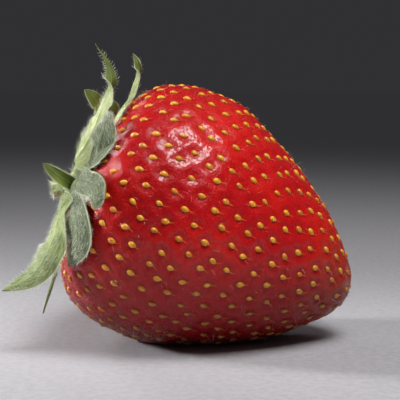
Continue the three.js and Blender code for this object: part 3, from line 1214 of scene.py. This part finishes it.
@dataclass
class Hairs:
    """Fine tapered hairs as closed three-sided strands."""

    finish: bpy.types.Material
    radius: float = 0.030
    stations: int = 4
    density: float = 0.8
    margin_share: float = 0.45
    bare_length: float = 16.0
    lowest: float = 0.6

    def strands(self, name: str, roots: Numbers, ways: Numbers, bends: Numbers, lengths: Numbers) -> None:
        """Builds hairs.

        Args:
            name: the piece's name.
            roots: where they start, in model metres.
            ways: unit directions in which they start.
            bends: how far their ends are bent, as a share of their length.
            lengths: their lengths in millimetres.
        """
        n, sides = len(roots), 3
        side = unit(np.cross(ways, unit(ways + np.array([0.31, 0.57, -0.76]))))
        other = np.cross(ways, side)
        s = np.linspace(0.0, 1.0, self.stations)
        long = (lengths * MM)[:, None, None]
        spine = roots[:, None] + ways[:, None] * s[None, :, None] * long
        spine = spine + bends[:, None] * (s**2)[None, :, None] * long
        thin = self.radius * MM * (1.0 - 0.85 * s)
        angle = np.arange(sides) * 2 * math.pi / sides
        ring = side[:, None] * np.cos(angle)[None, :, None] + other[:, None] * np.sin(angle)[None, :, None]
        points = spine[:, :, None] + ring[:, None] * thin[None, :, None, None]
        points[..., 2] = np.maximum(points[..., 2], 0.01 * MM)
        each = self.stations * sides
        quads = Maker.grid_faces(self.stations, sides, wrap=True)
        caps = [[2, 1, 0], [each - 3, each - 2, each - 1]]
        faces = (quads[None] + np.arange(n)[:, None, None] * each).reshape(-1, 4).tolist()
        for i in range(n):
            faces.extend([[c + i * each for c in cap] for cap in caps])
        Maker.piece(name, points.reshape(-1, 3), faces, [self.finish], "hair")

    def on_leaf(self, leaf: Leaf, s: dict[str, Numbers], outline: Outline, rng: np.random.Generator) -> None:
        """Grows hairs on a leaf's outer face and margins, combed towards its point.

        Args:
            leaf: the leaf.
            s: its surface.
            outline: the fruit's outline.
            rng: the source of their places.
        """
        rows, columns = s["across"].shape
        count = int(leaf.fuzz * self.density)
        margin = rng.random(count) < self.margin_share
        r = rng.uniform(0.03, 0.97, count) * (rows - 1)
        edge = rng.integers(0, 2, count)
        c = np.where(margin, edge, rng.uniform(0.05, 0.95, count)) * (columns - 1)
        r0, c0 = np.minimum(r.astype(int), rows - 2), np.minimum(c.astype(int), columns - 2)
        point = s["point"][r0, c0] * (1 - (c - c0))[:, None] + s["point"][r0, c0 + 1] * (c - c0)[:, None]
        ahead = unit(s["point"][r0 + 1, c0] - s["point"][r0, c0])
        aside = unit(s["point"][r0, c0 + 1] - s["point"][r0, c0]) * np.where(c > columns / 2, 1, -1)[:, None]
        out = s["out"][r0, c0]
        way = np.where(
            margin[:, None],
            aside * 0.9 + out * 0.35 + ahead * 0.5,
            out * rng.uniform(0.35, 0.9, count)[:, None] + ahead * 0.8,
        )
        way = unit(way + rng.normal(0.0, 0.22, (count, 3)))
        root = point + out * (s["thick"][r0, c0] * 0.4)[:, None]
        bend = ahead * 0.35 + rng.normal(0.0, 0.12, (count, 3))
        lengths = rng.uniform(0.55, 1.45, count) * min(1.0, 0.55 + leaf.half * 0.2) * (1 - 0.6 * r / rows)
        self.strands(
            leaf.name + "_hairs",
            outline.to_model(root),
            outline.turn_to_model(way),
            outline.turn_to_model(bend),
            lengths,
        )

    def on_fruit(self, fruit: Fruit, count: int, rng: np.random.Generator) -> None:
        """Grows sparse short hairs on the skin.

        Args:
            fruit: the fruit.
            count: how many.
            rng: the source of their places.
        """
        outline = fruit.outline
        weight = np.cumsum(outline.line[:, 1])
        length = np.interp(rng.random(count) * weight[-1], weight, outline.lengths)
        length = np.maximum(length, self.bare_length)
        turn = rng.uniform(0, 2 * math.pi, count)
        point, normal = fruit.body_point(length, turn)
        way = unit(normal + rng.normal(0.0, 0.35, (count, 3)) + np.array([0.35, 0.0, 0.0]))
        root = outline.to_model(point - normal * 0.1)
        keep = root[:, 2] > self.lowest * MM
        self.strands(
            "skin_hairs",
            root[keep],
            outline.turn_to_model(way[keep]),
            outline.turn_to_model(rng.normal(0.0, 0.2, (count, 3))[keep]),
            rng.uniform(0.6, 1.3, count)[keep],
        )


@dataclass
class Stalk:
    """The disc that the leaves stand on, and the cut stub of the stalk."""

    outline: Outline
    disc_radius: float = 3.7
    disc_drop: float = 1.5
    stub_radius: float = 1.25
    stub_length: float = 1.2
    stub_foot: Triple = (-4.6, -3.2, 0.8)
    stub_way: Triple = (-0.8, -0.6, 0.1)
    around: int = 60
    stub_hairs: int = 150
    disc_hairs: int = 240

    def turned(
        self, profile: list[tuple[float, float]], ridges: int, depth: float
    ) -> tuple[Numbers, list[list[int]]]:
        """A turned form with ridges along it.

        Args:
            profile: (radius, height) points from one end of the axis to the other.
            ridges: ridges round it.
            depth: their depth as a share of the radius.

        Returns:
            Points (height, across, across) and faces.
        """
        line, _ = through(np.array(profile, float), np.linspace(0, 1, 34))
        a = np.linspace(0, 2 * math.pi, self.around, endpoint=False)
        wave = 1.0 + depth * np.cos(a * ridges) + depth * 0.6 * np.cos(a * (ridges * 2 + 1) + 1.0)
        radius = np.maximum(line[:, 0], 0.02)[:, None] * wave[None, :]
        ring = [(radius * turn).ravel() for turn in (np.cos(a), np.sin(a))]
        points = np.stack([np.repeat(line[:, 1], self.around), *ring], axis=1)
        faces = Maker.grid_faces(len(line), self.around, wrap=True).tolist()
        faces.append(list(range(self.around))[::-1])
        faces.append(list(range(len(points) - self.around, len(points))))
        return points, faces

    def build(self, finish: bpy.types.Material, hairs: Hairs, rng: np.random.Generator) -> None:
        """Builds the disc, the stub and the stub's hairs.

        Args:
            finish: their material.
            hairs: the maker of hairs.
            rng: the source of the hairs' places.
        """
        big = self.disc_radius
        disc, faces = self.turned(
            [(0, -3.85), (2.2, -3.75), (big - 0.5, -3.4), (big + 0.1, -2.4), (big + 0.05, -0.6),
             (2.4, 0.5), (0, 0.8)],
            13,
            0.035,
        )  # fmt: skip
        disc = disc + np.array([0.0, -self.disc_drop, 0.0])
        made = Maker.piece("disc", self.outline.to_model(disc), faces, [finish], "stalk")
        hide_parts("calyx_disc")
        r, long = self.stub_radius, self.stub_length
        stub, faces = self.turned(
            [(0, -0.5), (r * 1.25, -0.35), (r * 1.1, 0.3), (r, long * 0.6), (r * 0.98, long * 0.97),
             (r * 0.8, long), (r * 0.45, long - 0.15), (0, long - 0.4)],
            7,
            0.05,
        )  # fmt: skip
        axis = unit(np.array(self.stub_way))
        side = unit(np.cross(axis, np.array([0.0, 0.0, 1.0])))
        stub = stub @ np.stack([axis, side, np.cross(axis, side)]) + np.array(self.stub_foot)
        made = Maker.piece("stub", self.outline.to_model(stub), faces, [finish], "stalk")
        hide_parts("stem_stub")
        foot = np.array(self.stub_foot)
        self.hairs_on(hairs, rng, stub, foot, axis, self.stub_hairs, "stub_hairs", 0.9)
        centre = np.array([-2.0, -self.disc_drop, 0.0])
        face = disc[disc[:, 0] < -1.6]
        self.hairs_on(hairs, rng, face, centre, np.array([-1.0, 0, 0]), self.disc_hairs, "disc_hairs", 1.1)

    def hairs_on(
        self,
        hairs: Hairs,
        rng: np.random.Generator,
        points: Numbers,
        centre: Numbers,
        axis: Numbers,
        count: int,
        name: str,
        long: float,
    ) -> None:
        """Grows hairs outwards from a turned form.

        Args:
            hairs: the maker of hairs.
            rng: the source of their places.
            points: points that they may start from.
            centre: the form's middle.
            axis: its axis.
            count: how many.
            name: the piece's name.
            long: their length in millimetres, before it is varied.
        """
        root = points[rng.integers(0, len(points), count)]
        away = root - centre
        away = unit(away - (away @ axis)[:, None] * axis * 0.7)
        way = unit(away + axis * 0.35 + rng.normal(0.0, 0.25, (count, 3)))
        hairs.strands(
            name,
            self.outline.to_model(root),
            self.outline.turn_to_model(way),
            self.outline.turn_to_model(rng.normal(0.0, 0.25, (count, 3))),
            rng.uniform(0.6, 1.2, count) * long,
        )


# ---------------------------------------------------------------------------------------------------------
# The studio
# ---------------------------------------------------------------------------------------------------------


@dataclass(frozen=True)
class Lamp:
    """One soft square light: where it is, what it faces, its width, power and spread."""

    name: str
    place: Triple
    faces: Triple
    width: float
    power: float
    spread: float

    def build(self) -> None:
        """Builds the light."""
        data = bpy.data.lights.new(self.name, "AREA")
        data.shape = "SQUARE"
        data.size = self.width
        data.energy = self.power
        data.spread = self.spread
        lamp = bpy.data.objects.new(self.name, data)
        lamp.location = self.place
        lamp.rotation_euler = (Vector(self.faces) - Vector(self.place)).to_track_quat("-Z", "Y").to_euler()
        bpy.context.scene.collection.objects.link(lamp)


@dataclass(frozen=True)
class Studio:
    """The floor, the soft lights and the camera."""

    floor_size: float = 12.0
    look_at: Triple = (0.00058, 0.0, 0.02314)
    distance: float = 0.183
    height_angle: float = math.radians(6.0)
    lens: float = 99.8
    surroundings: Colour = (0.030, 0.029, 0.033)
    sky_strength: float = 0.10
    sky_angle: float = math.radians(120.0)
    lamps: tuple[Lamp, ...] = (
        Lamp("key", (0.08, -0.14, 0.39), (0.0, 0.0, 0.03), 0.20, 0.36, math.radians(80.0)),
        Lamp("back", (-0.23, 0.29, 0.18), (-0.08, 0.0, 0.0), 0.10, 0.030, math.radians(30.0)),
        Lamp("side", (-0.36, 0.05, 0.14), (-0.035, 0.0, 0.025), 0.08, 0.030, math.radians(16.0)),
    )

    def build(self) -> None:
        """Builds the studio."""
        half = self.floor_size / 2
        mesh = bpy.data.meshes.new("floor")
        corners = [(-half, -half, 0), (half, -half, 0), (half, half, 0), (-half, half, 0)]
        mesh.from_pydata(corners, [], [(0, 1, 2, 3)])
        mesh.materials.append(FloorFinish().material())
        floor = bpy.data.objects.new("floor", mesh)
        bpy.context.scene.collection.objects.link(floor)
        for lamp in self.lamps:
            lamp.build()
        sky = bpy.data.lights.new("sky", "SUN")
        sky.energy = self.sky_strength
        sky.angle = self.sky_angle
        bpy.context.scene.collection.objects.link(bpy.data.objects.new("sky", sky))
        world = bpy.data.worlds.new("surroundings")
        world.use_nodes = True
        world.node_tree.nodes["Background"].inputs["Color"].default_value = (*self.surroundings, 1.0)
        scene = bpy.context.scene
        scene.world = world
        scene.view_settings.view_transform = "Standard"
        data = bpy.data.cameras.new("camera")
        data.lens = self.lens
        data.clip_start = 0.01
        camera = bpy.data.objects.new("camera", data)
        target = Vector(self.look_at)
        back = Vector((0.0, -math.cos(self.height_angle), math.sin(self.height_angle)))
        camera.location = target + back * self.distance
        camera.rotation_euler = (-back).to_track_quat("-Z", "Y").to_euler()
        scene.collection.objects.link(camera)
        scene.camera = camera


def main() -> None:
    """Builds the strawberry piece by piece, and the studio round it."""
    logging.basicConfig(level=logging.INFO, format="%(name)s: %(message)s")
    outline = Outline()
    fruit = Fruit(outline, SeedPattern())
    fruit.build()
    Seeds(fruit).build()
    rng = np.random.default_rng(HAIR_SEED)
    hairs = Hairs(HairFinish().material())
    finishes = {tone: LeafFinish(tone).material() for tone in LeafTone}
    for leaf in LEAVES:
        surface = leaf.build(outline, finishes[leaf.tone])
        hairs.on_leaf(leaf, surface, outline, rng)
    Stalk(outline).build(StalkFinish().material(), hairs, rng)
    hairs.on_fruit(fruit, SKIN_HAIRS, rng)
    Studio().build()


if __name__ == "__main__":
    main()
